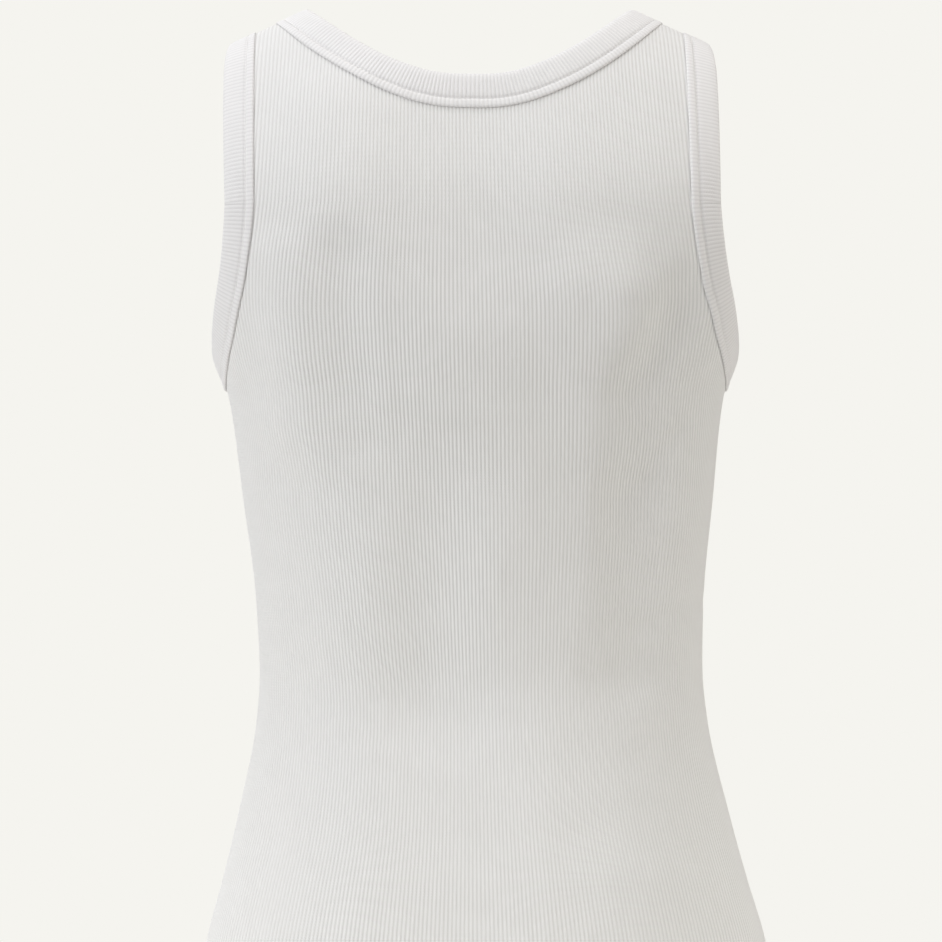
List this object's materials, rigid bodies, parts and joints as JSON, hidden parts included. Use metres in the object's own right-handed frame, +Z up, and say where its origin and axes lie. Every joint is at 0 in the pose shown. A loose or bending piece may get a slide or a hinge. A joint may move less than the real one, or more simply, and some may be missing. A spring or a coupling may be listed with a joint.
{
  "type": "tank top",
  "caption": "Fitted sleeveless ribbed top with scooped neck and bound edges, filled out as worn, open at neck, armholes and hem.",
  "frame": {"origin": "middle of the line across the undersides of the straps, where the shoulders carry them", "axes": "+Z up, +Y out of the garment's back, -Y out of its front, +X towards the wearer's left"},
  "size_m": [0.379, 0.2388, 0.6541],
  "materials": {
    "ribbed_cotton": "matte white ribbed cotton knit",
    "binding_rib": "matte white fine rib, cut across and folded"
  },
  "bodies": {
    "root": {"back_panel": "ribbed_cotton", "front_panel": "ribbed_cotton", "neck_binding": "binding_rib", "armhole_binding_left": "binding_rib", "armhole_binding_right": "binding_rib"}
  },
  "joints": []
}
